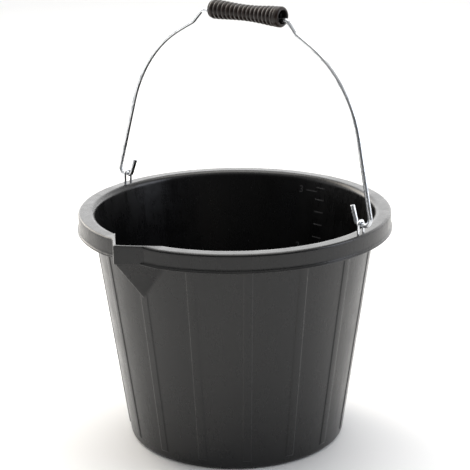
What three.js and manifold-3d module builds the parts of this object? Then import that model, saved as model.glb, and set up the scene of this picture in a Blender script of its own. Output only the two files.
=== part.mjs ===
// Black plastic bucket with a V-shaped pouring lip, a wire bail and a ribbed hand grip.
// Millimetres, +Z up, the ground at z = 0 and the bucket's axis on x = y = 0.
// The bail swings about a line along X, and the lip points to -Y.
import * as THREE from 'three';
import { mergeVertices } from 'three/addons/utils/BufferGeometryUtils.js';
import { ConvexGeometry } from 'three/addons/geometries/ConvexGeometry.js';
import Module from 'manifold-3d';

const wasm = await Module();
wasm.setup();

// Bucket body
const rimTop = 259; // ground to the flat top of the rim
const baseRadius = 120; // outside of the wall carried straight down to the ground
const taper = 0.14; // radius gained per millimetre of height
const wall = 2.6;
const floorTop = 4.4; // inside of the base
const baseFillet = 6.4; // rounded edge under the wall
const insideFillet = 5;
const roundSteps = 64; // facets round the bucket
const gripSteps = 24;

// Underside: a foot ring and a middle pad, with a shallow groove between them
const footInner = 98;
const padRadius = 30;
const grooveDepth = 1.6;

// Rim: a flat top plate, a skirt that hangs from it and a small lip below the skirt
const mouthRadius = 156.5;
const rimRadius = 171;
const mouthRound = 2.4;
const rimRound = 2.5;
const plateThickness = 2.6;
const skirtThickness = 2.3;
const skirtHeight = 20;
const lipRadius = 172.5;
const lipHeight = 2.6;
const lipRound = 1;

// Upright ribs on the outside of the wall
const ribCount = 16;
const ribWidth = 9;
const ribHeight = 0.9;
const ribFoot = 10; // height of the ribs' lower ends
const ribRamp = 2; // the lower end slopes out over this height
const ribCrest = 0.75; // width of the rib's face, as a share of its root

// Pouring lip: two flanks at 45 degrees to -Y that meet at a nose
const noseOut = 191; // bucket axis to the nose, outside
const noseInside = 186.8;
const noseRise = 3; // the nose stands this much above the rim
const keelOut = 187.8; // bucket axis to the keel's upper end
const keelSlope = 0.861; // millimetres inward per millimetre down
const keelTopDepth = 18.8; // below the rim
const channelBend = 14; // depth at which the channel's floor starts to slope
const funnelBack = 125; // back of the cutting and joining wedges, inside the bucket
const funnelDepth = 74; // below the rim, where the funnel has run into the wall
const channelDepth = 68; // the same for its inside
const bandBack = 148; // back of the outer band, inside the rim
const clearAbove = 8; // how far the cutting shapes stand above the rim

// Wire eyes, stapled through the rim's top plate
const eyeDistance = 165.8; // bucket axis to the plane of each eye
const eyeWire = 1.45; // radius
const eyeTop = 13.6; // arch above the rim
const eyeHalf = 4.5; // half the distance between the legs
const eyeBend = 4.3;
const clinchDepth = 6; // below the rim, where the ends turn outwards
const clinchEnd = 9.5;
const clinchBend = 2.2;
const legHole = 1.85; // radius

// Bail
const hingeY = 4.5; // the eyes stand a little behind the bucket's axis
const hingeHeight = 9.3; // above the rim
const bailWire = 2.4; // radius
const bailTop = 199.5; // hinge line to the wire's straight top
const bailLean = 3.9; // degrees from upright, away from the pouring lip

// Grip: it is lifted by its bore, so its middle line is above the wire
const gripLength = 97;
const gripSlide = 4.5; // off the middle of the bail, along the wire
const gripLift = 3; // wire's middle line to the grip's
const gripEnd = 10.9; // radius
const gripWaist = 8.4;
const gripBore = 5.8;
const gripMouth = 7.4; // radius of the wide bore at each end
const gripMouthDepth = 8;
const gripEdge = 1.4; // rounded off at each end

const blackPlastic = new THREE.MeshStandardMaterial({ color: 0x17171a, roughness: 0.42, metalness: 0 });
const gripPlastic = new THREE.MeshStandardMaterial({ color: 0x141416, roughness: 0.5, metalness: 0 });
const zincWire = new THREE.MeshStandardMaterial({ color: 0xc9ccd0, roughness: 0.3, metalness: 1 });

const flat = (x, y) => new THREE.Vector2(x, y);
const point = (x, y, z) => new THREE.Vector3(x, y, z);
const wallRadius = z => baseRadius + taper * z;
const insideRadius = z => wallRadius(z) - wall;

// Quarter-round points about a centre, between two angles in degrees
function arc(cx, cy, radius, from, to, steps) {
  const points = [];
  for (let i = 0; i <= steps; i++) {
    const angle = THREE.MathUtils.degToRad(from + ((to - from) * i) / steps);
    points.push(flat(cx + radius * Math.cos(angle), cy + radius * Math.sin(angle)));
  }
  return points;
}

// Turns an outline of (radius, height) about Z; the outline runs upwards on the outside
function turned(outline, steps) {
  const geometry = new THREE.LatheGeometry(outline, steps);
  geometry.rotateX(Math.PI / 2);
  return geometry;
}

function solid(geometry) {
  const bare = geometry.index ? geometry.toNonIndexed() : geometry;
  bare.deleteAttribute('normal');
  bare.deleteAttribute('uv');
  const merged = mergeVertices(bare, 1e-4);
  return new wasm.Manifold(new wasm.Mesh({
    numProp: 3,
    vertProperties: merged.attributes.position.array,
    triVerts: new Uint32Array(merged.index.array),
  }));
}

function toGeometry(manifold) {
  const mesh = manifold.getMesh();
  const geometry = new THREE.BufferGeometry();
  geometry.setAttribute('position', new THREE.BufferAttribute(mesh.vertProperties, 3));
  geometry.setIndex(new THREE.BufferAttribute(mesh.triVerts, 1));
  geometry.computeVertexNormals();
  return geometry;
}

// The bucket's outside as a full solid, with the hollow under the rim left open
function outerBody() {
  const skirtFoot = rimTop - skirtHeight;
  const skirtInside = rimRadius - skirtThickness;
  const plateUnder = rimTop - plateThickness;
  return solid(turned([
    flat(0, 0),
    flat(padRadius, 0),
    flat(padRadius, grooveDepth),
    flat(footInner, grooveDepth),
    flat(footInner, 0),
    ...arc(wallRadius(baseFillet) - baseFillet, baseFillet, baseFillet, -90, 0, 4),
    flat(wallRadius(plateUnder), plateUnder),
    flat(skirtInside, plateUnder),
    flat(skirtInside, skirtFoot),
    flat(lipRadius, skirtFoot),
    flat(lipRadius, skirtFoot + lipHeight),
    flat(rimRadius, skirtFoot + lipHeight + lipRound),
    ...arc(rimRadius - rimRound, rimTop - rimRound, rimRound, 0, 90, 3),
    flat(0, rimTop),
  ], roundSteps));
}

function cavity() {
  const roundFoot = rimTop - mouthRound;
  return solid(turned([
    flat(0, floorTop),
    ...arc(insideRadius(floorTop) - insideFillet, floorTop + insideFillet, insideFillet, -90, 0, 3),
    flat(insideRadius(roundFoot), roundFoot),
    flat(mouthRadius - mouthRound / 3, rimTop - mouthRound / 3),
    flat(mouthRadius, rimTop),
    flat(mouthRadius + 1, rimTop + clearAbove),
    flat(0, rimTop + clearAbove),
  ], roundSteps));
}

// One upright rib, sunk into the wall by half the wall's thickness
function rib(angle) {
  const top = rimTop - plateThickness / 2;
  const corners = [];
  for (const z of [ribFoot, top]) {
    for (const y of [-ribWidth / 2, ribWidth / 2]) {
      const lift = z === ribFoot ? 0 : ribHeight;
      corners.push(point(wallRadius(z) - wall / 2, y, z));
      corners.push(point(wallRadius(z) + lift, y, z));
      corners.push(point(wallRadius(z + ribRamp) + ribHeight, y * ribCrest, Math.min(z + ribRamp, top)));
    }
  }
  const geometry = new ConvexGeometry(corners);
  geometry.rotateZ(angle);
  return solid(geometry);
}

// A wedge with flanks at 45 degrees: each level is [height, distance of its edge from the axis]
function wedge(levels) {
  const corners = [];
  for (const [z, edge] of levels) {
    const half = edge - funnelBack;
    corners.push(point(0, -edge, z), point(half, -funnelBack, z), point(-half, -funnelBack, z));
  }
  return solid(new ConvexGeometry(corners));
}

const keelAt = depth => keelOut - keelSlope * (depth - keelTopDepth);
const channelAt = depth => noseInside - keelSlope * Math.max(0, depth - channelBend);

// The outer band of the lip carries on from the skirt and rises towards the nose
function lipBand() {
  const half = noseOut - bandBack;
  const corners = [];
  for (const z of [rimTop - skirtHeight, rimTop]) {
    corners.push(point(0, -noseOut, z + noseRise));
    corners.push(point(half, -bandBack, z), point(-half, -bandBack, z));
  }
  return solid(new ConvexGeometry(corners));
}

function funnel() {
  return wedge([
    [rimTop - plateThickness, keelOut],
    [rimTop - keelTopDepth, keelOut],
    [rimTop - funnelDepth, keelAt(funnelDepth)],
  ]);
}

function channel() {
  return wedge([
    [rimTop + clearAbove, noseInside],
    [rimTop - channelBend, noseInside],
    [rimTop - channelDepth, channelAt(channelDepth)],
  ]);
}

function legHoles() {
  const holes = [];
  for (const side of [-1, 1]) {
    for (const y of [hingeY - eyeHalf, hingeY + eyeHalf]) {
      const hole = new THREE.CylinderGeometry(legHole, legHole, 3 * plateThickness, 12);
      hole.rotateX(Math.PI / 2);
      hole.translate(side * eyeDistance, y, rimTop - plateThickness / 2);
      holes.push(solid(hole));
    }
  }
  return holes;
}

function bucketShell() {
  let body = outerBody().add(lipBand()).add(funnel());
  for (let i = 0; i < ribCount; i++) {
    body = body.add(rib((2 * Math.PI * i) / ribCount));
  }
  body = body.subtract(cavity()).subtract(channel());
  for (const hole of legHoles()) {
    body = body.subtract(hole);
  }
  const mesh = new THREE.Mesh(toGeometry(body), blackPlastic);
  mesh.name = 'bucket_shell';
  return mesh;
}

// Corners joined by straight lines, each corner rounded to its own bend radius
function bentLine(corners) {
  const path = new THREE.CurvePath();
  let from = corners[0].at;
  for (let i = 1; i < corners.length - 1; i++) {
    const corner = corners[i].at;
    const back = corners[i - 1].at.clone().sub(corner).normalize();
    const on = corners[i + 1].at.clone().sub(corner).normalize();
    const halfAngle = back.angleTo(on) / 2;
    const run = corners[i].bend / Math.tan(halfAngle);
    const start = corner.clone().addScaledVector(back, run);
    const end = corner.clone().addScaledVector(on, run);
    if (from.distanceTo(start) > 0.01) path.add(new THREE.LineCurve3(from, start));
    path.add(bend(corner, start, end, halfAngle, corners[i].bend));
    from = end;
  }
  path.add(new THREE.LineCurve3(from, corners[corners.length - 1].at));
  return path;
}

// A round bend from start to end, as a curve of its own
function bend(corner, start, end, halfAngle, radius) {
  const middle = start.clone().add(end).multiplyScalar(0.5);
  const inward = middle.clone().sub(corner).normalize();
  const centre = corner.clone().addScaledVector(inward, radius / Math.sin(halfAngle));
  const first = start.clone().sub(centre);
  const axis = first.clone().cross(end.clone().sub(centre)).normalize();
  const sweep = Math.PI - 2 * halfAngle;
  const curve = new THREE.Curve();
  curve.sweep = sweep;
  curve.getPoint = t => first.clone().applyAxisAngle(axis, sweep * t).add(centre);
  return curve;
}

// A round wire along a bent line, with short steps in the bends and one on each straight
function wire(path, radius, sides, degreesPerStep) {
  const points = [path.curves[0].getPoint(0)];
  for (const curve of path.curves) {
    const steps = curve.sweep ? Math.ceil(THREE.MathUtils.radToDeg(curve.sweep) / degreesPerStep) : 1;
    for (let i = 1; i <= steps; i++) {
      points.push(curve.getPoint(i / steps));
    }
  }
  const route = new Polyline(points);
  const circle = new THREE.Shape().absarc(0, 0, radius, 0, 2 * Math.PI);
  const geometry = new THREE.ExtrudeGeometry(circle, {
    steps: points.length - 1,
    curveSegments: sides / 2,
    extrudePath: route,
  });
  return toGeometry(solid(geometry));
}

// A curve that visits its points evenly in t, so that each extrusion step lands on one
class Polyline extends THREE.Curve {
  constructor(points) {
    super();
    this.points = points;
  }

  getPoint(t) {
    const place = t * (this.points.length - 1);
    const index = Math.min(Math.floor(place), this.points.length - 2);
    return this.points[index].clone().lerp(this.points[index + 1], place - index);
  }

  getPointAt(u) {
    return this.getPoint(u);
  }

  getTangent(t) {
    const place = Math.round(t * (this.points.length - 1));
    const before = this.points[Math.max(place - 1, 0)];
    const after = this.points[Math.min(place + 1, this.points.length - 1)];
    return after.clone().sub(before).normalize();
  }

  getTangentAt(u) {
    return this.getTangent(u);
  }
}

// A staple: two legs through the rim, an arch above it and ends turned outwards below it
function eye(side, name) {
  const half = [
    { at: point(0, clinchEnd, -clinchDepth), bend: 0 },
    { at: point(0, eyeHalf, -clinchDepth), bend: clinchBend },
    { at: point(0, eyeHalf, eyeTop), bend: eyeBend },
  ];
  const other = half.map(c => ({ at: c.at.clone().setY(-c.at.y), bend: c.bend })).reverse();
  const mesh = new THREE.Mesh(wire(bentLine([...half, ...other]), eyeWire, 8, 30), zincWire);
  mesh.name = name;
  mesh.position.set(side * eyeDistance, hingeY, rimTop);
  return mesh;
}

// Half of the bail, from the top middle to the hook's end, in the bail's own plane
function bailHalf(side) {
  const corner = (x, z, radius) => ({ at: point(side * x, 0, z), bend: radius });
  return [
    corner(59, bailTop, 6), // shoulder beside the grip
    corner(70.9, 186.3, 12),
    corner(142.4, 147.6, 138), // wide sweep into the arm
    corner(179.3, 0, 7), // turns in through the eye
    corner(160.6, 0, 4.5), // hook, inside the eye
    corner(154, 19.2, 0),
  ];
}

function bailWireMesh() {
  const corners = [...bailHalf(-1).reverse(), ...bailHalf(1)];
  const mesh = new THREE.Mesh(wire(bentLine(corners), bailWire, 10, 15), zincWire);
  mesh.name = 'bail_wire';
  return mesh;
}

// Half of the grip's outline, from its waist out to the end and back in through the bore
function gripHalf() {
  const half = gripLength / 2;
  const neck = half - gripMouthDepth;
  const swell = gripEnd - gripWaist;
  return [
    flat(gripWaist, half * 0.14),
    flat(gripWaist + swell * 0.22, half * 0.42),
    flat(gripWaist + swell * 0.62, half * 0.68),
    flat(gripEnd, half * 0.9),
    flat(gripEnd, half - gripEdge),
    flat(gripEnd - gripEdge, half),
    flat(gripMouth, half),
    flat(gripMouth, neck + gripEdge),
    flat(gripBore, neck),
  ];
}

function grip() {
  const upper = gripHalf();
  const lower = upper.map(p => flat(p.x, -p.y)).reverse();
  const geometry = turned([...lower, ...upper, lower[0]], gripSteps);
  geometry.rotateY(Math.PI / 2);
  const mesh = new THREE.Mesh(toGeometry(solid(geometry)), gripPlastic);
  mesh.name = 'grip';
  mesh.position.set(gripSlide, 0, bailTop + gripLift);
  return mesh;
}

const bail = new THREE.Group();
bail.position.set(0, hingeY, rimTop + hingeHeight);
bail.rotation.x = THREE.MathUtils.degToRad(-bailLean);
bail.add(bailWireMesh(), grip());

const bucket = new THREE.Group();
bucket.add(bucketShell(), eye(-1, 'bail_eye_left'), eye(1, 'bail_eye_right'), bail);

export default bucket;
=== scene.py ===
import math

import bmesh
import bpy
from mathutils import Matrix, Vector


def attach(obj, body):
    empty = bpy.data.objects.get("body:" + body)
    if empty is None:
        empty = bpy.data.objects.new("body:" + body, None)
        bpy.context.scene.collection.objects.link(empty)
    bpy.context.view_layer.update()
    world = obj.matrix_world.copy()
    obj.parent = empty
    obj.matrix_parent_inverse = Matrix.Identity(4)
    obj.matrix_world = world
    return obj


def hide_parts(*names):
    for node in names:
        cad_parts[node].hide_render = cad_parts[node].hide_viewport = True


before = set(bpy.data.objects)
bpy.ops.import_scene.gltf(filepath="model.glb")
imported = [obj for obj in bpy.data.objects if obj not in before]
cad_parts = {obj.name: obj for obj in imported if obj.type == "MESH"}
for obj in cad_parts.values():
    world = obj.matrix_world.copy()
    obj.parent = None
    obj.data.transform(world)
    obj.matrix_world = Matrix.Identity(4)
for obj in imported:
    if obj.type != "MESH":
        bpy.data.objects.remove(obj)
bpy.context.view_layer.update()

mm = 0.001


# small helpers shared by every piece

def linear(hexColour):
    # sRGB hex to the linear values that Blender's sockets want
    parts = [int(hexColour[i:i + 2], 16) / 255 for i in (1, 3, 5)]
    return tuple(c / 12.92 if c <= 0.04045 else ((c + 0.055) / 1.055) ** 2.4 for c in parts) + (1.0,)


def addNode(tree, kind, inputs=None, **settings):
    # inputs holds plain values, or the outputs of other nodes to link from
    node = tree.nodes.new(kind)
    for name, value in settings.items():
        setattr(node, name, value)
    for socket, value in (inputs or {}).items():
        if isinstance(value, bpy.types.NodeSocket):
            tree.links.new(value, node.inputs[socket])
        else:
            node.inputs[socket].default_value = value
    return node


def startTree(name, sizes):
    # a geometry tree with one named input for each size
    tree = bpy.data.node_groups.new(name, "GeometryNodeTree")
    tree.interface.new_socket("Geometry", in_out="INPUT", socket_type="NodeSocketGeometry")
    for label, (kind, value) in sizes.items():
        socket = tree.interface.new_socket(label, in_out="INPUT", socket_type="NodeSocket" + kind)
        if value is not None:
            socket.default_value = value
    tree.interface.new_socket("Geometry", in_out="OUTPUT", socket_type="NodeSocketGeometry")
    return tree, addNode(tree, "NodeGroupInput").outputs


def endTree(tree, geometry, material):
    real = addNode(tree, "GeometryNodeRealizeInstances", {"Geometry": geometry})
    painted = addNode(tree, "GeometryNodeSetMaterial", {"Geometry": real.outputs[0], "Material": material})
    addNode(tree, "NodeGroupOutput", {0: painted.outputs[0]})


def runTree(source, tree, values, name):
    # runs the tree on the source and leaves a plain mesh in its place
    modifier = source.modifiers.new(tree.name, "NODES")
    modifier.node_group = tree
    for item in tree.interface.items_tree:
        if item.item_type == "SOCKET" and item.in_out == "INPUT" and item.name in values:
            modifier[item.identifier] = values[item.name]
    depsgraph = bpy.context.evaluated_depsgraph_get()
    mesh = bpy.data.meshes.new_from_object(source.evaluated_get(depsgraph))
    source.modifiers.remove(modifier)
    bpy.data.objects.remove(source)
    mesh.name = name
    onlyMaterial(mesh, values["Material"])
    return place(mesh, name)


def onlyMaterial(mesh, material):
    mesh.materials.clear()
    mesh.materials.append(material)


def place(data, name):
    piece = bpy.data.objects.new(name, data)
    bpy.context.scene.collection.objects.link(piece)
    return piece


def meshFrom(name, points, faces):
    mesh = bpy.data.meshes.new(name)
    mesh.from_pydata([Vector(p) * mm for p in points], [], faces)
    mesh.update()
    return mesh


def smooth(piece, sharpAngle=40):
    # smooth shading, with the edges that are sharper than the angle kept crisp
    mesh = piece.data
    mesh.shade_smooth()
    mesh.set_sharp_from_angle(angle=math.radians(sharpAngle))


def clamp(x, low=0.0, high=1.0):
    return min(max(x, low), high)


def ease(x):
    x = clamp(x)
    return x * x * (3 - 2 * x)


def blend(a, b, t):
    return a + (b - a) * t


# camera

cameraPlace = {
    "azimuth": 40.1,  # degrees round from -Y towards +X
    "elevation": 17.265,
    "roll": -0.5995,
    "target": (0, 0, 0.2267),
    "distance": 1.6934,
    "lens": 117.59,  # on a 36 mm sensor
}


def makeCamera(c):
    a, e, roll = (math.radians(c[k]) for k in ("azimuth", "elevation", "roll"))
    back = Vector((math.sin(a) * math.cos(e), -math.cos(a) * math.cos(e), math.sin(e)))
    right = Vector((math.cos(a), math.sin(a), 0))
    up = back.cross(right)
    turnedRight = right * math.cos(roll) + up * math.sin(roll)
    turnedUp = up * math.cos(roll) - right * math.sin(roll)
    data = bpy.data.cameras.new("camera")
    data.lens = c["lens"]
    data.sensor_width = 36
    data.clip_start = 0.05
    camera = place(data, "camera")
    turn = Matrix((turnedRight, turnedUp, back)).transposed().to_4x4()
    camera.matrix_world = Matrix.Translation(Vector(c["target"]) + back * c["distance"]) @ turn
    bpy.context.scene.camera = camera


makeCamera(cameraPlace)
bpy.context.scene.view_settings.view_transform = "Standard"
print("camera placed")


# materials

plasticLook = {
    "name": "recycledPolypropylene",
    "dark": "#070707",
    "light": "#0e0e0f",
    "roughLow": 0.22,
    "roughHigh": 0.36,
    "blotch": 38,  # mm across a cloudy patch
    "peel": 1.6,  # mm across a bump of orange peel, coarser than real so that it shows
    "scuff": 9,  # mm between rubbed marks
    "scuffStretch": 0.06,  # marks run up and down the wall
    "ior": 1.49,
    "waveBump": 0.10, "waveDepth": 4,  # share and mm of the soft unevenness
    "peelBump": 0.12, "peelDepth": 0.2,
}
# paler copy of the plastic for the raised scale marks: painted highlight standing for the light that the
# marks catch
markHighlightLook = dict(
    plasticLook, name="markHighlightPolypropylene", dark="#3a3a3b", light="#4e4e50", roughLow=0.4, roughHigh=0.55)


def recycledPolypropylene(look):
    # Black polypropylene, injection moulded: deep black, semi-gloss, softly uneven sheen, light rub marks
    material = bpy.data.materials.new(look["name"])
    material.use_nodes = True
    tree = material.node_tree
    shader = tree.nodes["Principled BSDF"]
    coords = addNode(tree, "ShaderNodeTexCoord").outputs["Object"]
    clouds = addNode(tree, "ShaderNodeTexNoise", {
        "Vector": coords, "Scale": 1000 / look["blotch"], "Detail": 4, "Roughness": 0.6})
    drag = addNode(tree, "ShaderNodeMapping", {"Vector": coords, "Scale": (1, 1, look["scuffStretch"])})
    dragged = addNode(tree, "ShaderNodeTexNoise", {
        "Vector": drag.outputs[0], "Scale": 1000 / look["scuff"], "Detail": 5, "Roughness": 0.7})
    peel = addNode(tree, "ShaderNodeTexNoise", {
        "Vector": coords, "Scale": 1000 / look["peel"], "Detail": 2, "Roughness": 0.5})
    colour = addNode(tree, "ShaderNodeMix", {
        0: clouds.outputs[0], 6: linear(look["dark"]), 7: linear(look["light"])}, data_type="RGBA")
    mixed = addNode(tree, "ShaderNodeMath", {
        0: clouds.outputs[0], 1: dragged.outputs[0]}, operation="MULTIPLY")
    sheen = addNode(tree, "ShaderNodeMapRange", {
        "Value": mixed.outputs[0], "From Min": 0.12, "From Max": 0.42,
        "To Min": look["roughLow"], "To Max": look["roughHigh"]})
    soft = addNode(tree, "ShaderNodeBump", {
        "Height": clouds.outputs[0], "Strength": look["waveBump"], "Distance": look["waveDepth"] * mm})
    bump = addNode(tree, "ShaderNodeBump", {
        "Height": peel.outputs[0], "Strength": look["peelBump"],
        "Distance": look["peelDepth"] * mm, "Normal": soft.outputs[0]})
    tree.links.new(colour.outputs[2], shader.inputs["Base Color"])
    tree.links.new(sheen.outputs[0], shader.inputs["Roughness"])
    tree.links.new(bump.outputs[0], shader.inputs["Normal"])
    shader.inputs["IOR"].default_value = look["ior"]
    return material


gripLook = {
    # valley colour: painted shade in the grooves; crest colour: rub wear and painted highlight on the ring
    # tops
    "valley": "#0c0705",
    "crest": "#2a1b14",
    "roughLow": 0.26,
    "roughHigh": 0.42,
    "specular": 0.32,  # a waxy plastic, duller than the bucket
    "grain": 1.2,  # mm
    "patches": 90,  # rubbed patches to a metre
    "grainBump": 0.2, "grainDepth": 0.2,
    "ior": 1.51,
}


def mouldedPolyethylene(look):
    # Black polyethylene sleeve, moulded with rings: brown-black, the ring crests paler in patches as rub wear
    # and as painted highlight, the grooves left darker as painted shade
    material = bpy.data.materials.new("mouldedPolyethylene")
    material.use_nodes = True
    tree = material.node_tree
    shader = tree.nodes["Principled BSDF"]
    coords = addNode(tree, "ShaderNodeTexCoord").outputs["Object"]
    crest = addNode(tree, "ShaderNodeAttribute", attribute_name="crest").outputs["Fac"]
    grain = addNode(tree, "ShaderNodeTexNoise", {
        "Vector": coords, "Scale": 1000 / look["grain"], "Detail": 4, "Roughness": 0.65})
    patches = addNode(tree, "ShaderNodeTexNoise", {
        "Vector": coords, "Scale": look["patches"], "Detail": 3})
    # crests paler in patches: partly rub wear, partly painted highlight; the grooves keep the dark valley
    # colour as painted shade
    crestWearAndHighlight = addNode(tree, "ShaderNodeMath", {0: crest, 1: patches.outputs[0]}, operation="MULTIPLY")
    colour = addNode(tree, "ShaderNodeMix", {
        0: crestWearAndHighlight.outputs[0], 6: linear(look["valley"]), 7: linear(look["crest"])}, data_type="RGBA")
    sheen = addNode(tree, "ShaderNodeMapRange", {
        "Value": patches.outputs[0], "From Min": 0.3, "From Max": 0.7,
        "To Min": look["roughLow"], "To Max": look["roughHigh"]})
    bump = addNode(tree, "ShaderNodeBump", {
        "Height": grain.outputs[0], "Strength": look["grainBump"], "Distance": look["grainDepth"] * mm})
    tree.links.new(colour.outputs[2], shader.inputs["Base Color"])
    tree.links.new(sheen.outputs[0], shader.inputs["Roughness"])
    tree.links.new(bump.outputs[0], shader.inputs["Normal"])
    shader.inputs["IOR"].default_value = look["ior"]
    shader.inputs["Specular IOR Level"].default_value = look["specular"]
    return material


wireLook = {
    "bright": "#e3e5e8",
    "dull": "#b3b7bb",
    "roughLow": 0.16,
    "roughHigh": 0.34,
    "girth": 15, "draw": 0.5,  # mm round the wire, and between its draw lines
    "drawLength": 40,  # mm that a draw line runs on for
    "bloom": 7,  # mm across a dull patch
    "lineBump": 0.06, "lineDepth": 0.1,
}


def zincPlatedWire(look):
    # Drawn steel wire, bright zinc plated: near-white metal, fine lines along it, dull bloom in patches
    material = bpy.data.materials.new("zincPlatedWire")
    material.use_nodes = True
    tree = material.node_tree
    shader = tree.nodes["Principled BSDF"]
    coords = addNode(tree, "ShaderNodeTexCoord").outputs["Object"]
    along = addNode(tree, "ShaderNodeAttribute", attribute_name="along").outputs["Fac"]
    around = addNode(tree, "ShaderNodeAttribute", attribute_name="around").outputs["Fac"]
    strip = addNode(tree, "ShaderNodeCombineXYZ", {"X": around, "Y": along})
    drawn = addNode(tree, "ShaderNodeMapping", {
        "Vector": strip.outputs[0], "Scale": (look["girth"] / look["draw"], 1000 / look["drawLength"], 1)})
    lines = addNode(tree, "ShaderNodeTexNoise", {
        "Vector": drawn.outputs[0], "Scale": 1, "Detail": 3, "Roughness": 0.6})
    bloom = addNode(tree, "ShaderNodeTexNoise", {
        "Vector": coords, "Scale": 1000 / look["bloom"], "Detail": 5, "Roughness": 0.6})
    tone = addNode(tree, "ShaderNodeMapRange", {
        "Value": bloom.outputs[0], "From Min": 0.42, "From Max": 0.72})
    colour = addNode(tree, "ShaderNodeMix", {
        0: tone.outputs[0], 6: linear(look["bright"]), 7: linear(look["dull"])}, data_type="RGBA")
    sheen = addNode(tree, "ShaderNodeMapRange", {
        "Value": bloom.outputs[0], "From Min": 0.35, "From Max": 0.7,
        "To Min": look["roughLow"], "To Max": look["roughHigh"]})
    bump = addNode(tree, "ShaderNodeBump", {
        "Height": lines.outputs[0], "Strength": look["lineBump"], "Distance": look["lineDepth"] * mm})
    tree.links.new(colour.outputs[2], shader.inputs["Base Color"])
    tree.links.new(sheen.outputs[0], shader.inputs["Roughness"])
    tree.links.new(bump.outputs[0], shader.inputs["Normal"])
    shader.inputs["Metallic"].default_value = 1
    return material


blackPlastic = recycledPolypropylene(plasticLook)
markHighlightPlastic = recycledPolypropylene(markHighlightLook)  # raised marks in a paler copy of the plastic: painted highlight standing for the light that their edges catch
gripPlastic = mouldedPolyethylene(gripLook)
zincWire = zincPlatedWire(wireLook)
print("materials made")


# bucket moulding: wall, base, rim, skirt and pouring lip, as one skin

bucket = {
    "rimTop": 259, "baseRadius": 120, "taper": 0.14, "wall": 2.6, "floorTop": 4.4,
    "baseFillet": 6.4, "insideFillet": 5,
    "footInner": 98, "padRadius": 30, "grooveDepth": 1.6,
    "gateRadius": 7.5,  # dimple round the moulding gate
    "rimRadius": 171, "rimRound": 2.5, "plate": 2.6, "skirt": 2.3, "skirtHeight": 20,
    "lipRadius": 172.5, "lipHeight": 2.6, "mouthRound": 6.0,
    "noseOut": 191, "noseInside": 186.8, "noseRise": 3, "bandRoundOut": 0.9, "bandRoundIn": 0.7,
    "keelOut": 187.8, "keelSlope": 0.861, "keelTopDepth": 18.8, "channelBend": 14,
    "noseSharpness": 0.0045,  # how far the nose and keel are rounded off
    "creaseOut": 1.0, "creaseIn": 3.0,
    "keelFoot": 188,  # lowest height that the funnel reaches
    "riseFoot": 222, "riseOut": 17, "riseIn": 30,  # where the lip begins to climb, outside and inside
    "channelLift": 228, "mouthRadius": 156.5,
    "lipTurn": 30,  # degrees each side of the nose that the lip may take up
    "joinWidth": 2.4,
}
skin = {
    "leastRadius": 112,  # rib edges keep their width in millimetres down to this radius
    "ribOffsets": (0, 3.7, 4.1, 4.5, 4.9, 5.4),  # mm from a rib's middle
    "noseOffsets": (0.25, 0.55, 0.9, 1.4, 2.7, 3.3),
    "firstTurn": 3.4,  # degrees from a rib's middle to the first plain column
    "noseColumns": 22, "lipColumns": 15, "wallColumns": 4,
}
ribs = {
    "count": 16, "width": 9, "height": 0.8, "edge": 0.6,
    "foot": 10, "footRamp": 1.6,
}


def wallRadius(z):
    return bucket["baseRadius"] + bucket["taper"] * z


def innerRadius(z):
    return wallRadius(z) - bucket["wall"]


def steps(start, end, count):
    # evenly spaced values, without the first one
    return [start + (end - start) * i / count for i in range(1, count + 1)]


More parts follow.
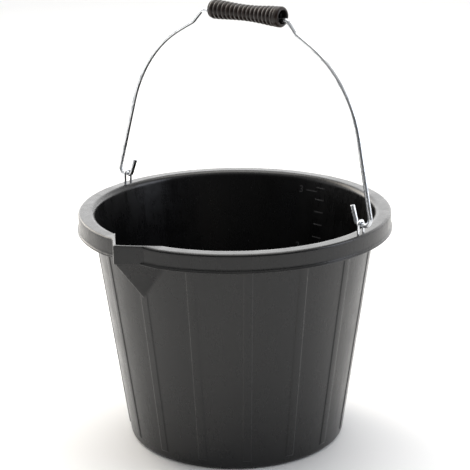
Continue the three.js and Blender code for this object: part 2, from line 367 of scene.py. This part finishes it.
def shellRows(b):
    # each row: radius and height on the round part, nose distance and height on the pouring lip,
    # share of the nose's rise, fillet size, and how far ribs may stand on it
    top = b["rimTop"]
    skirtFoot = top - b["skirtHeight"]
    root2 = math.sqrt(2)
    rows = []

    def row(r, z, nose=None, noseZ=None, rise=0.0, fillet=0.0, ribbed=0.0):
        rows.append((r, z, nose, z if noseZ is None else noseZ, rise, fillet, ribbed))

    # underside: gate dimple, middle pad, groove and foot ring
    gate = b["gateRadius"]
    for r, z in ((1.6, 0.5), (2.0, 1.0), (gate - 0.4, 1.0), (gate, 0.3), (gate + 0.6, 0),
                 (19, 0), (b["padRadius"] - 0.8, 0), (b["padRadius"], 0.4), (b["padRadius"] + 0.4, 1.3),
                 (b["padRadius"] + 1.4, b["grooveDepth"]), (52, b["grooveDepth"]), (75, b["grooveDepth"]),
                 (b["footInner"] - 1.4, b["grooveDepth"]), (b["footInner"] - 0.4, 1.3),
                 (b["footInner"], 0.4), (b["footInner"] + 0.8, 0), (106, 0)):
        row(r, z)
    fillet = b["baseFillet"]
    for angle in [-90] + steps(-90, 0, 8):
        turn = math.radians(angle)
        row(wallRadius(fillet) - fillet + fillet * math.cos(turn), fillet + fillet * math.sin(turn))

    # outside of the wall, up to the skirt's foot
    ribFoot = ribs["foot"] - 2
    ribTop = ribs["foot"] + 4
    heights = steps(fillet, ribFoot, 2) + steps(ribFoot, ribTop, 12)
    heights += steps(ribTop, b["keelFoot"], 22) + steps(b["keelFoot"], skirtFoot, 38)
    for z in heights:
        row(wallRadius(z), z, "keel", None, ease((z - b["riseFoot"]) / b["riseOut"]), b["creaseOut"], 1.0)

    # groove between the wall and the skirt, which closes up where the lip takes over
    plateUnder = top - b["plate"]
    inside = b["rimRadius"] - b["skirt"]
    neck = wallRadius(plateUnder)
    groove = [(blend(wallRadius(skirtFoot), neck, t), blend(skirtFoot, plateUnder, t), 1.0)
              for t in steps(0, 0.92, 5)]
    groove += [(neck + 0.4, plateUnder - 0.4, 0.5), (neck + 1.6, plateUnder, 0)]
    groove += [(r, plateUnder, 0.0) for r in steps(neck + 1.6, inside - 1, 3)]
    groove += [(inside, plateUnder - 1, 0.0)]
    groove += [(inside, z, 0.0) for z in steps(plateUnder - 1, skirtFoot + 0.5, 4)]
    for i, (r, z, ribbed) in enumerate(groove):
        share = (i + 1) / len(groove)
        nose = b["keelOut"] + (b["noseOut"] - 0.7 - b["keelOut"]) * share
        row(r, z, nose, skirtFoot + 0.02 * share, 1.0, b["creaseOut"] * 0.3, ribbed)

    # foot of the skirt and the small lip that stands out from it
    out = b["lipRadius"]
    for r, z, nose in ((inside + 0.5, skirtFoot, -0.6), (out - 0.6, skirtFoot, -0.45),
                       (out - 0.15, skirtFoot + 0.2, -0.2), (out, skirtFoot + 0.7, 0.0),
                       (out, skirtFoot + b["lipHeight"] - 1.3, 0.0),
                       (out - 0.15, skirtFoot + b["lipHeight"] - 0.95, 0.0),
                       (out - 0.4, skirtFoot + b["lipHeight"] - 0.7, 0.0),
                       (b["rimRadius"] + 0.2, skirtFoot + b["lipHeight"] + 0.1, 0.0),
                       (b["rimRadius"], skirtFoot + b["lipHeight"] + 0.6, 0.0)):
        row(r, z, b["noseOut"] + nose * root2, None, 1.0, b["creaseOut"])

    # outside of the skirt and its rounded upper edge
    edgeFoot = top - b["rimRound"]
    bandFoot = top - b["bandRoundOut"]
    low = skirtFoot + b["lipHeight"] + 0.6
    for t in steps(0, 1, 6):
        row(b["rimRadius"], blend(low, edgeFoot, t),
            b["noseOut"], blend(low, bandFoot, t), 1.0, b["creaseOut"])
    for angle in steps(0, 90, 7):
        s, c = math.sin(math.radians(angle)), math.cos(math.radians(angle))
        row(b["rimRadius"] - b["rimRound"] * (1 - c), edgeFoot + b["rimRound"] * s,
            b["noseOut"] - b["bandRoundOut"] * (1 - c) * root2, bandFoot + b["bandRoundOut"] * s,
            1.0, b["creaseOut"])

    # flat top, rounded mouth edge
    mouthFoot = top - b["mouthRound"]
    centre = innerRadius(mouthFoot) + b["mouthRound"] * 1.01
    flatOut = b["rimRadius"] - b["rimRound"]
    noseFlatOut = b["noseOut"] - b["bandRoundOut"] * root2
    noseFlatIn = b["noseInside"] + b["bandRoundIn"] * root2
    for t in steps(0, 1, 5):
        row(blend(flatOut, centre, t), top, blend(noseFlatOut, noseFlatIn, t), top, 1.0,
            blend(b["creaseOut"], b["creaseIn"], t))
    for angle in steps(0, 82, 8):
        s, c = math.sin(math.radians(angle)), math.cos(math.radians(angle))
        row(centre - b["mouthRound"] * s, top - b["mouthRound"] * (1 - c),
            noseFlatIn - b["bandRoundIn"] * root2 * s, top - b["bandRoundIn"] * (1 - c), 1.0, b["creaseIn"])

    # inside of the wall, down to the floor
    start = rows[-1][1]
    for z in steps(start, 190, 40) + steps(190, b["floorTop"] + b["insideFillet"], 20):
        share = clamp((z - b["channelLift"]) / (start - b["channelLift"]))
        lifted = z + (top - b["bandRoundIn"] - start) * share
        row(innerRadius(z), z, "channel", lifted, ease((z - b["riseFoot"]) / b["riseIn"]), b["creaseIn"])
    fillet = b["insideFillet"]
    centre = innerRadius(b["floorTop"] + fillet) - fillet
    for angle in steps(0, 90, 6):
        turn = math.radians(angle)
        row(centre + fillet * math.cos(turn), b["floorTop"] + fillet - fillet * math.sin(turn))
    for r in steps(centre, 3, 8):
        row(r, b["floorTop"])
    return rows


def shellColumns():
    # each column: rib centre in degrees from the nose, then an offset in millimetres or in degrees
    columns = []
    pitch = 360 / ribs["count"]
    for k in range(ribs["count"]):
        centre = k * pitch if k <= ribs["count"] / 2 else k * pitch - 360
        offsets = {(s * o, 0.0) for o in skin["ribOffsets"] for s in (-1, 1)}
        first = skin["firstTurn"]
        area = "nose" if k == 0 else "lip" if abs(centre) < bucket["lipTurn"] else "wall"
        count = skin[area + "Columns"]
        for d in [first] + steps(first, pitch / 2, count):
            offsets.add((0.0, d))
            if d < pitch / 2 - 0.01:
                offsets.add((0.0, -d))
        if k == 0:
            offsets |= {(s * o, 0.0) for o in skin["noseOffsets"] for s in (-1, 1)}
        columns += sorted(((centre, o, d) for o, d in offsets), key=lambda c: math.degrees(c[1] / 130) + c[2])
    return columns


def lipPoint(b, row, phi, raised):
    # a point of the skin at the angle phi (radians from the nose)
    r, z, nose, noseZ, rise, fillet, ribbed = row
    if nose is None or abs(phi) > math.radians(b["lipTurn"]):
        return r, z, ribbed
    spread = math.cos(phi) + math.sqrt(math.sin(phi) ** 2 + b["noseSharpness"] ** 2)
    lift = b["noseRise"] * raised * rise
    depth = b["rimTop"] - (noseZ + lift)
    if nose == "keel":
        nose = b["keelOut"] - b["keelSlope"] * max(depth - b["keelTopDepth"], 0)
    elif nose == "channel":
        nose = b["noseInside"] - b["keelSlope"] * max(depth - b["channelBend"], 0)
    reach = nose / spread
    near = max(fillet - abs(reach - r), 0) / fillet if fillet else 0
    radius = max(reach, r) + near * near * fillet / 4
    share = ease((reach - r) / b["joinWidth"] + 0.5)
    return radius, blend(z, noseZ, share) + lift, ribbed * (1 - share)


def shellMesh(b):
    rows = shellRows(b)
    columns = shellColumns()
    points = [(0, 0, 0.5)]
    ribbing = [0.0]
    for row in rows:
        across = max(row[0], skin["leastRadius"])
        for centre, offset, turn in columns:
            phi = math.radians(centre + turn) + offset / across
            onLip = abs(phi) < math.radians(b["lipTurn"])
            mouth = b["noseInside"] / (math.cos(phi) + abs(math.sin(phi))) if onLip else 0
            raised = clamp((mouth - b["mouthRadius"]) / (b["noseInside"] - b["mouthRadius"]))
            radius, z, ribbed = lipPoint(b, row, phi, raised)
            points.append((radius * math.sin(phi), -radius * math.cos(phi), z))
            ribbing.append(ribbed)
    points.append((0, 0, b["floorTop"]))
    ribbing.append(0.0)
    n = len(columns)
    faces = []
    for j in range(n):
        k = (j + 1) % n
        faces.append((0, 1 + k, 1 + j))
        last = 1 + (len(rows) - 1) * n
        faces.append((last + j, last + k, len(points) - 1))
    for i in range(len(rows) - 1):
        for j in range(n):
            k = (j + 1) % n
            a = 1 + i * n
            faces.append((a + j, a + k, a + n + k, a + n + j))
    mesh = meshFrom("bucketMoulding", points, faces)
    mark = mesh.attributes.new("ribbing", "FLOAT", "POINT")
    mark.data.foreach_set("value", ribbing)
    return mesh


def ribTree():
    # moves the wall outwards in evenly spaced upright bands
    tree, sizes = startTree("uprightRibs", {
        "Rib Count": ("Int", ribs["count"]),
        "Rib Width": ("Float", ribs["width"] * mm),
        "Rib Height": ("Float", ribs["height"] * mm),
        "Edge": ("Float", ribs["edge"] * mm),
        "Foot": ("Float", ribs["foot"] * mm),
        "Foot Ramp": ("Float", ribs["footRamp"] * mm),
        "Material": ("Material", None),
    })

    spot = addNode(tree, "ShaderNodeSeparateXYZ", {
        0: addNode(tree, "GeometryNodeInputPosition").outputs[0]}).outputs
    level = addNode(tree, "ShaderNodeCombineXYZ", {0: spot[0], 1: spot[1]}).outputs[0]
    radius = addNode(tree, "ShaderNodeVectorMath", {0: level}, operation="LENGTH").outputs["Value"]
    outward = addNode(tree, "ShaderNodeVectorMath", {0: level}, operation="NORMALIZE").outputs[0]
    turn = addNode(tree, "ShaderNodeMath", {0: spot[1], 1: spot[0]}, operation="ARCTAN2").outputs[0]
    pitch = addNode(tree, "ShaderNodeMath", {
        0: math.pi, 1: sizes["Rib Count"]}, operation="DIVIDE").outputs[0]
    away = addNode(tree, "ShaderNodeMath", {0: turn, 1: pitch}, operation="PINGPONG").outputs[0]
    across = addNode(tree, "ShaderNodeMath", {0: away, 1: radius}, operation="MULTIPLY").outputs[0]
    half = addNode(tree, "ShaderNodeMath", {0: sizes["Rib Width"], 1: 0.5}, operation="MULTIPLY").outputs[0]
    outer = addNode(tree, "ShaderNodeMath", {0: half, 1: sizes["Edge"]}, operation="ADD").outputs[0]
    inner = addNode(tree, "ShaderNodeMath", {0: half, 1: sizes["Edge"]}, operation="SUBTRACT").outputs[0]
    band = addNode(tree, "ShaderNodeMapRange", {
        "Value": across, "From Min": outer, "From Max": inner}, interpolation_type="SMOOTHSTEP").outputs[0]
    rampTop = addNode(tree, "ShaderNodeMath", {
        0: sizes["Foot"], 1: sizes["Foot Ramp"]}, operation="ADD").outputs[0]
    foot = addNode(tree, "ShaderNodeMapRange", {
        "Value": spot[2], "From Min": sizes["Foot"], "From Max": rampTop,
        "To Max": sizes["Rib Height"]}, interpolation_type="SMOOTHSTEP").outputs[0]
    allowed = addNode(tree, "GeometryNodeInputNamedAttribute", {"Name": "ribbing"}).outputs["Attribute"]
    share = addNode(tree, "ShaderNodeMath", {0: band, 1: allowed}, operation="MULTIPLY").outputs[0]
    push = addNode(tree, "ShaderNodeMath", {0: share, 1: foot}, operation="MULTIPLY").outputs[0]
    offset = addNode(tree, "ShaderNodeVectorMath", {0: outward, "Scale": push}, operation="SCALE")
    moved = addNode(tree, "GeometryNodeSetPosition", {
        "Geometry": sizes["Geometry"], "Offset": offset.outputs[0]})
    bare = addNode(tree, "GeometryNodeRemoveAttribute", {"Geometry": moved.outputs[0], "Name": "ribbing"})
    endTree(tree, bare.outputs[0], sizes["Material"])
    return tree


blank = place(shellMesh(bucket), "shellSkin")
moulding = runTree(blank, ribTree(), {"Material": blackPlastic}, "bucketMoulding")
smooth(moulding, 50)
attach(moulding, "bucket")
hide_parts("bucket_shell")
print("bucket moulded:", len(moulding.data.polygons), "faces")


# wires: the bail and its two eyes

wires = {"bailRadius": 2.4, "bailSides": 24, "eyeRadius": 1.45, "eyeSides": 20, "bendStep": 4}
bail = {
    "hingeY": 4.5, "hingeHeight": 268.3, "lean": 3.9,
    # half of the wire from its top middle to the hook's end: out from the middle, up from the hinge, bend
    "half": (
        (59, 199.5, 6), (70.9, 186.3, 12), (142.4, 147.6, 138),
        (179.3, 0, 7), (160.6, 0, 4.5), (154, 19.2, 0)),
}
eye = {
    "distance": 165.8,
    # half of the staple, from its clinched end to the top of the arch: along Y, height, bend
    "half": ((9.5, 253, 0), (4.5, 253, 2.2), (4.5, 272.6, 4.3)),
}


def bentRoute(corners, bendStep):
    # straight runs with a round bend at each corner
    points = [Vector(corners[0][0])]
    for i in range(1, len(corners) - 1):
        corner = Vector(corners[i][0])
        back = (Vector(corners[i - 1][0]) - corner).normalized()
        on = (Vector(corners[i + 1][0]) - corner).normalized()
        half = back.angle(on) / 2
        radius = corners[i][1]
        centre = corner + (back + on).normalized() * (radius / math.sin(half))
        first = corner + back * (radius / math.tan(half)) - centre
        axis = first.cross(corner + on * (radius / math.tan(half)) - centre).normalized()
        sweep = math.pi - 2 * half
        count = max(2, math.ceil(math.degrees(sweep) / bendStep))
        points += [centre + Matrix.Rotation(sweep * t / count, 3, axis) @ first for t in range(count + 1)]
    points.append(Vector(corners[-1][0]))
    return points


def routeCurve(name, points, radius):
    # a poly curve whose ends are drawn in a little, so that the cut ends have a soft edge
    first = (points[1] - points[0]).normalized()
    last = (points[-2] - points[-1]).normalized()
    ends = ((0.0, 0.72), (0.12, 0.93), (0.35, 1.0))
    route = [(points[0] + first * radius * d, s) for d, s in ends]
    route += [(p, 1.0) for p in points[1:-1]]
    route += [(points[-1] + last * radius * d, s) for d, s in reversed(ends)]
    curve = bpy.data.curves.new(name, "CURVE")
    curve.dimensions = "3D"
    spline = curve.splines.new("POLY")
    spline.points.add(len(route) - 1)
    for point, (spot, share) in zip(spline.points, route):
        point.co = (*(spot * mm), 1)
        point.radius = share
    return place(curve, name)


def wireTree():
    # a round wire along a route, with its length and its turn kept for the material
    tree, sizes = startTree("drawnWire", {
        "Wire Radius": ("Float", 0.002), "Sides": ("Int", 20), "Material": ("Material", None)})
    alongIt = addNode(tree, "GeometryNodeStoreNamedAttribute", {
        "Geometry": sizes["Geometry"], "Name": "along",
        "Value": addNode(tree, "GeometryNodeSplineParameter").outputs["Length"]})
    ring = addNode(tree, "GeometryNodeCurvePrimitiveCircle", {
        "Resolution": sizes["Sides"], "Radius": sizes["Wire Radius"]})
    roundIt = addNode(tree, "GeometryNodeStoreNamedAttribute", {
        "Geometry": ring.outputs[0], "Name": "around",
        "Value": addNode(tree, "GeometryNodeSplineParameter").outputs["Factor"]})
    swept = addNode(tree, "GeometryNodeCurveToMesh", {
        "Curve": alongIt.outputs[0], "Profile Curve": roundIt.outputs[0], "Fill Caps": True})
    if "Scale" in swept.inputs:
        share = addNode(tree, "GeometryNodeInputRadius").outputs[0]
        tree.links.new(share, swept.inputs["Scale"])
    endTree(tree, swept.outputs[0], sizes["Material"])
    return tree


wireShape = wireTree()


def makeWire(name, points, radius, sides, body, node):
    values = {"Wire Radius": radius * mm, "Sides": sides, "Material": zincWire}
    piece = runTree(routeCurve(name + "Route", points, radius), wireShape, values, name)
    smooth(piece, 55)
    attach(piece, body)
    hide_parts(node)
    return piece


def bailPoint(across, up):
    # from the bail's own upright plane to its place, leaning away from the pouring lip
    lean = math.radians(bail["lean"])
    return Vector((across, bail["hingeY"] + up * math.sin(lean), bail["hingeHeight"] + up * math.cos(lean)))


bailCorners = [(bailPoint(-x, z), r) for x, z, r in reversed(bail["half"])]
bailCorners += [(bailPoint(x, z), r) for x, z, r in bail["half"]]
bailRoute = bentRoute(bailCorners, wires["bendStep"])
makeWire("bailWire", bailRoute, wires["bailRadius"], wires["bailSides"], "bail", "bail_wire")
for side, word, node in ((-1, "Left", "bail_eye_left"), (1, "Right", "bail_eye_right")):
    x = side * eye["distance"]
    corners = [(Vector((x, bail["hingeY"] + y, z)), r) for y, z, r in eye["half"]]
    corners += [(Vector((x, bail["hingeY"] - y, z)), r) for y, z, r in reversed(eye["half"])]
    eyeRoute = bentRoute(corners, wires["bendStep"])
    makeWire("bailEye" + word, eyeRoute, wires["eyeRadius"], wires["eyeSides"], "bucket", node)
print("bail and eyes bent")


# grip: a ringed sleeve on the bail

grip = {
    "length": 97, "slide": 4.5, "lift": 3, "leftRadius": 10.6, "rightRadius": 11.1, "waistRadius": 8.9,
    "bore": 5.8, "mouth": 7.4, "mouthDepth": 8, "edge": 2.8, "sides": 72,
    "ringPitch": 5.57, "ringDepth": 1.3, "firstGroove": 2.2, "collar": 6.6, "collarRamp": 0.6,
    "crestRoundness": 0.6, "stations": 230,
}


def gripOutline(g):
    # closed outline of (along, radius): outside first, then the bore
    half = g["length"] / 2
    outline = []
    count = g["stations"]
    for i in range(count + 1):
        x = -half + g["length"] * i / count
        edge = half - abs(x)
        end = g["leftRadius"] if x < 0 else g["rightRadius"]
        r = blend(g["waistRadius"], end, ease((abs(x) / half - 0.05) / 0.9))
        if edge < g["edge"]:
            r -= g["edge"] - math.sqrt(max(g["edge"] ** 2 - (g["edge"] - edge) ** 2, 0))
        outline.append((x, r, 1.0))
    neck = half - g["mouthDepth"]
    for x, r in ((half - 0.15, g["mouth"] + 0.4), (half - 0.6, g["mouth"]), (neck + 1.6, g["mouth"]),
                 (neck + 0.9, g["mouth"] - 0.4), (neck, g["bore"] + 0.3), (neck - 0.5, g["bore"])):
        outline.append((x, r, 0.0))
    outline += [(-x, r, s) for x, r, s in reversed(outline[count + 1:])]
    return outline


def gripMesh(g):
    outline = gripOutline(g)
    sides = g["sides"]
    points = []
    for x, r, outer in outline:
        for j in range(sides):
            turn = 2 * math.pi * j / sides
            points.append((x, r * math.cos(turn), r * math.sin(turn)))
    faces = []
    for i in range(len(outline)):
        a, b = i * sides, (i + 1) % len(outline) * sides
        for j in range(sides):
            k = (j + 1) % sides
            faces.append((a + j, a + k, b + k, b + j))
    mesh = meshFrom("gripSleeve", points, faces)
    mark = mesh.attributes.new("outer", "FLOAT", "POINT")
    mark.data.foreach_set("value", [outer for _, _, outer in outline for _ in range(sides)])
    return mesh


def ringTree():
    # cuts evenly spaced grooves up to the collar, and keeps the crests for the material
    tree, sizes = startTree("gripRings", {
        "Ring Pitch": ("Float", grip["ringPitch"] * mm),
        "Ring Depth": ("Float", grip["ringDepth"] * mm),
        "Sleeve Length": ("Float", grip["length"] * mm),
        "First Groove": ("Float", grip["firstGroove"] * mm),
        "Collar Length": ("Float", grip["collar"] * mm),
        "Collar Ramp": ("Float", grip["collarRamp"] * mm),
        "Crest Roundness": ("Float", grip["crestRoundness"]),
        "Material": ("Material", None),
    })

    spot = addNode(tree, "ShaderNodeSeparateXYZ", {
        0: addNode(tree, "GeometryNodeInputPosition").outputs[0]}).outputs
    level = addNode(tree, "ShaderNodeCombineXYZ", {1: spot[1], 2: spot[2]}).outputs[0]
    outward = addNode(tree, "ShaderNodeVectorMath", {0: level}, operation="NORMALIZE").outputs[0]
    half = addNode(tree, "ShaderNodeMath", {
        0: sizes["Sleeve Length"], 1: 0.5}, operation="MULTIPLY").outputs[0]
    fromEnd = addNode(tree, "ShaderNodeMath", {0: spot[0], 1: half}, operation="ADD").outputs[0]
    fromGroove = addNode(tree, "ShaderNodeMath", {0: fromEnd, 1: sizes["First Groove"]}, operation="SUBTRACT")
    rings = addNode(tree, "ShaderNodeMath", {
        0: fromGroove.outputs[0], 1: sizes["Ring Pitch"]}, operation="DIVIDE")
    turn = addNode(tree, "ShaderNodeMath", {0: rings.outputs[0], 1: math.pi}, operation="MULTIPLY").outputs[0]
    wave = addNode(tree, "ShaderNodeMath", {0: turn}, operation="SINE").outputs[0]
    hump = addNode(tree, "ShaderNodeMath", {0: wave}, operation="ABSOLUTE").outputs[0]
    crest = addNode(tree, "ShaderNodeMath", {
        0: hump, 1: sizes["Crest Roundness"]}, operation="POWER").outputs[0]
    reach = addNode(tree, "ShaderNodeMath", {
        0: half, 1: sizes["Collar Length"]}, operation="SUBTRACT").outputs[0]
    start = addNode(tree, "ShaderNodeMath", {0: reach, 1: sizes["Collar Ramp"]}, operation="ADD").outputs[0]
    ringed = addNode(tree, "ShaderNodeMapRange", {
        "Value": spot[0], "From Min": start, "From Max": reach}).outputs[0]
    outer = addNode(tree, "GeometryNodeInputNamedAttribute", {"Name": "outer"}).outputs["Attribute"]
    valley = addNode(tree, "ShaderNodeMath", {0: 1.0, 1: crest}, operation="SUBTRACT").outputs[0]
    allowed = addNode(tree, "ShaderNodeMath", {0: ringed, 1: outer}, operation="MULTIPLY").outputs[0]
    cut = addNode(tree, "ShaderNodeMath", {0: valley, 1: allowed}, operation="MULTIPLY").outputs[0]
    depth = addNode(tree, "ShaderNodeMath", {0: cut, 1: sizes["Ring Depth"]}, operation="MULTIPLY").outputs[0]
    inward = addNode(tree, "ShaderNodeMath", {0: depth, 1: -1.0}, operation="MULTIPLY").outputs[0]
    offset = addNode(tree, "ShaderNodeVectorMath", {0: outward, "Scale": inward}, operation="SCALE")
    left = addNode(tree, "ShaderNodeMath", {0: outer, 1: cut}, operation="SUBTRACT")
    kept = addNode(tree, "GeometryNodeStoreNamedAttribute", {
        "Geometry": sizes["Geometry"], "Name": "crest", "Value": left.outputs[0]})
    moved = addNode(tree, "GeometryNodeSetPosition", {
        "Geometry": kept.outputs[0], "Offset": offset.outputs[0]})
    bare = addNode(tree, "GeometryNodeRemoveAttribute", {"Geometry": moved.outputs[0], "Name": "outer"})
    endTree(tree, bare.outputs[0], sizes["Material"])
    return tree


sleeve = runTree(place(gripMesh(grip), "sleeveBlank"), ringTree(), {"Material": gripPlastic}, "gripSleeve")
leaned = Matrix.Rotation(math.radians(-bail["lean"]), 4, "X")
middle = bailPoint(grip["slide"], bail["half"][0][1] + grip["lift"]) * mm
sleeve.data.transform(Matrix.Translation(middle) @ leaned)
smooth(sleeve, 60)
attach(sleeve, "grip")
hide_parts("grip")
print("grip ringed")


# scale marks inside the wall, opposite the pouring lip

scale = {
    "litreLow": 1, "litreHigh": 14, "tickLength": 12.5, "tickWidth": 1.1, "tickHeight": 0.6,
    "tickTurn": 1.5, "gallonTurn": -3.2, "gallonLength": 15, "numeralTurn": -8.6, "numeralHeight": 8,
    "gallon": 4.546,
}


def fillHeight(litres):
    # height above the ground of the water's surface for a volume, from the wall's own taper
    want = litres * 1e6
    low, high = bucket["floorTop"], bucket["rimTop"]
    for _ in range(40):
        middle = (low + high) / 2
        a, c = innerRadius(bucket["floorTop"]), innerRadius(middle)
        volume = math.pi * (middle - bucket["floorTop"]) * (a * a + a * c + c * c) / 3
        low, high = (middle, high) if volume < want else (low, middle)
    return low


def markTree():
    # stands a small bar on each point, turned to lie on the wall
    tree, sizes = startTree("scaleMarks", {
        "Mark Width": ("Float", scale["tickWidth"] * mm),
        "Mark Height": ("Float", 2 * scale["tickHeight"] * mm),
        "Material": ("Material", None),
    })
    length = addNode(tree, "GeometryNodeInputNamedAttribute", {"Name": "length"}).outputs["Attribute"]
    spot = addNode(tree, "ShaderNodeSeparateXYZ", {
        0: addNode(tree, "GeometryNodeInputPosition").outputs[0]}).outputs
    turn = addNode(tree, "ShaderNodeMath", {0: spot[1], 1: spot[0]}, operation="ARCTAN2").outputs[0]
    lean = addNode(tree, "FunctionNodeEulerToRotation", {
        0: addNode(tree, "ShaderNodeCombineXYZ", {"Y": math.atan(bucket["taper"]), "Z": turn}).outputs[0]})
    block = addNode(tree, "GeometryNodeMeshCube", {"Size": (1, 1, 1)})
    size = addNode(tree, "ShaderNodeCombineXYZ", {
        "X": sizes["Mark Height"], "Y": length, "Z": sizes["Mark Width"]})
    marks = addNode(tree, "GeometryNodeInstanceOnPoints", {
        "Points": sizes["Geometry"], "Instance": block.outputs[0],
        "Rotation": lean.outputs[0], "Scale": size.outputs[0]})
    endTree(tree, marks.outputs[0], sizes["Material"])
    return tree


def markPoints():
    spots = []
    lengths = []
    for turn, length, heights in (
            (scale["tickTurn"], scale["tickLength"],
             [fillHeight(n) for n in range(scale["litreLow"], scale["litreHigh"] + 1)]),
            (scale["gallonTurn"], scale["gallonLength"],
             [fillHeight(n * scale["gallon"]) for n in (1, 2, 3)])):
        angle = math.radians(90 - turn)
        for z in heights:
            r = innerRadius(z)
            spots.append((r * math.cos(angle), r * math.sin(angle), z))
            lengths.append(length * mm)
    mesh = meshFrom("markPoints", spots, [])
    mesh.attributes.new("length", "FLOAT", "POINT").data.foreach_set("value", lengths)
    return mesh


def numerals():
    # raised numbers, bent onto the wall
    pieces = []
    for n in (1, 2, 3):
        text = bpy.data.curves.new("numeral", "FONT")
        text.body = str(n)
        text.size = scale["numeralHeight"] / 0.7
        text.align_x = "CENTER"
        text.align_y = "CENTER"
        text.extrude = scale["tickHeight"]
        holder = place(text, "numeral")
        depsgraph = bpy.context.evaluated_depsgraph_get()
        mesh = bpy.data.meshes.new_from_object(holder.evaluated_get(depsgraph))
        bpy.data.objects.remove(holder)
        middle = math.radians(90 - scale["numeralTurn"])
        height = fillHeight(n * scale["gallon"])
        for v in mesh.vertices:
            z = height + v.co.y
            r = innerRadius(z) - v.co.z
            turn = middle - v.co.x / innerRadius(height)
            v.co = Vector((r * math.cos(turn), r * math.sin(turn), z)) * mm
        pieces.append(mesh)
    return pieces


marks = runTree(place(markPoints(), "markSpots"), markTree(), {"Material": markHighlightPlastic}, "scaleMarks")
joined = bmesh.new()
joined.from_mesh(marks.data)
for mesh in numerals():
    joined.from_mesh(mesh)
    bpy.data.meshes.remove(mesh)
joined.to_mesh(marks.data)
joined.free()
onlyMaterial(marks.data, markHighlightPlastic)
smooth(marks, 30)
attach(marks, "bucket")
print("scale marked")


# floor and light

studio = {
    "floorSize": 9, "floorColour": "#fafafa", "floorRoughness": 0.9,
    "skyColour": "#ffffff", "skyStrength": 1.14,
    "ceiling": 0.55,  # strength overhead
    "darkSide": 0.10,  # strength of the unlit side, behind the camera
    "backStrength": 2.6,  # strength of the lit backdrop, low down behind the object
    "darkAzimuth": 40,
    # place, aim, size in metres, watts, colour
    "lamps": (
        ((-2.0, 0.2, 1.3), (0, 0, 0.15), (1.2, 1.6), 24, "#fff4e4"),
        ((2.2, 1.3, 1.2), (0, 0, 0.15), (1.2, 1.6), 17, "#eaf0ff"),
        ((-0.4, 0.5, 3.0), (-0.1, 0.1, 0), (2.4, 2.4), 55, "#fffdf8"),
    ),
}


def makeSky(s):
    # a plain bright sky with one unlit side; the camera itself sees plain white
    world = bpy.data.worlds.new("studio")
    world.use_nodes = True
    tree = world.node_tree
    sky = tree.nodes["Background"]
    a = math.radians(s["darkAzimuth"])
    look = addNode(tree, "ShaderNodeTexCoord").outputs["Generated"]
    side = addNode(tree, "ShaderNodeVectorMath", {
        0: look, 1: (math.sin(a), -math.cos(a), 0)}, operation="DOT_PRODUCT").outputs["Value"]
    height = addNode(tree, "ShaderNodeSeparateXYZ", {0: look}).outputs["Z"]
    low = addNode(tree, "ShaderNodeMapRange", {"Value": height, "From Min": 0.8, "From Max": 0.45}).outputs[0]
    unlit = addNode(tree, "ShaderNodeMapRange", {
        "Value": side, "From Min": -0.05, "From Max": 0.55}, interpolation_type="SMOOTHSTEP").outputs[0]
    lit = addNode(tree, "ShaderNodeMapRange", {
        "Value": side, "From Min": -0.1, "From Max": -0.8}, interpolation_type="SMOOTHSTEP").outputs[0]
    down = addNode(tree, "ShaderNodeMath", {0: unlit, 1: low}, operation="MULTIPLY").outputs[0]
    up = addNode(tree, "ShaderNodeMath", {0: lit, 1: low}, operation="MULTIPLY").outputs[0]
    darkened = addNode(tree, "ShaderNodeMapRange", {
        "Value": down, "To Min": s["skyStrength"], "To Max": s["darkSide"]}).outputs[0]
    raised = addNode(tree, "ShaderNodeMapRange", {
        "Value": up, "To Min": 0.0, "To Max": s["backStrength"] - s["skyStrength"]}).outputs[0]
    walls = addNode(tree, "ShaderNodeMath", {0: darkened, 1: raised}, operation="ADD").outputs[0]
    strength = addNode(tree, "ShaderNodeMapRange", {
        "Value": height, "From Min": 0.45, "From Max": 0.75,
        "To Min": walls, "To Max": s["ceiling"]}).outputs[0]
    seen = addNode(tree, "ShaderNodeLightPath").outputs["Is Camera Ray"]
    shown = addNode(tree, "ShaderNodeMix", {0: seen, 2: strength, 3: 1.0}).outputs[0]
    sky.inputs["Color"].default_value = linear(s["skyColour"])
    tree.links.new(shown, sky.inputs["Strength"])
    bpy.context.scene.world = world


def makeStudio(s):
    half = s["floorSize"] / 2
    mesh = bpy.data.meshes.new("floor")
    corners = [(-half, -half, 0), (half, -half, 0), (half, half, 0), (-half, half, 0)]
    mesh.from_pydata(corners, [], [(0, 1, 2, 3)])
    floor = place(mesh, "floor")
    paper = bpy.data.materials.new("mattPaper")
    paper.use_nodes = True
    sheet = paper.node_tree.nodes["Principled BSDF"].inputs
    sheet["Base Color"].default_value = linear(s["floorColour"])
    sheet["Roughness"].default_value = s["floorRoughness"]
    mesh.materials.append(paper)
    for spot, aim, size, watts, colour in s["lamps"]:
        lamp = bpy.data.lights.new("softbox", "AREA")
        lamp.shape = "RECTANGLE"
        lamp.size, lamp.size_y = size
        lamp.energy = watts
        lamp.color = linear(colour)[:3]
        box = place(lamp, "softbox")
        box.location = spot
        box.rotation_euler = (Vector(aim) - Vector(spot)).to_track_quat("-Z", "Y").to_euler()


makeSky(studio)
makeStudio(studio)
print("studio lit")
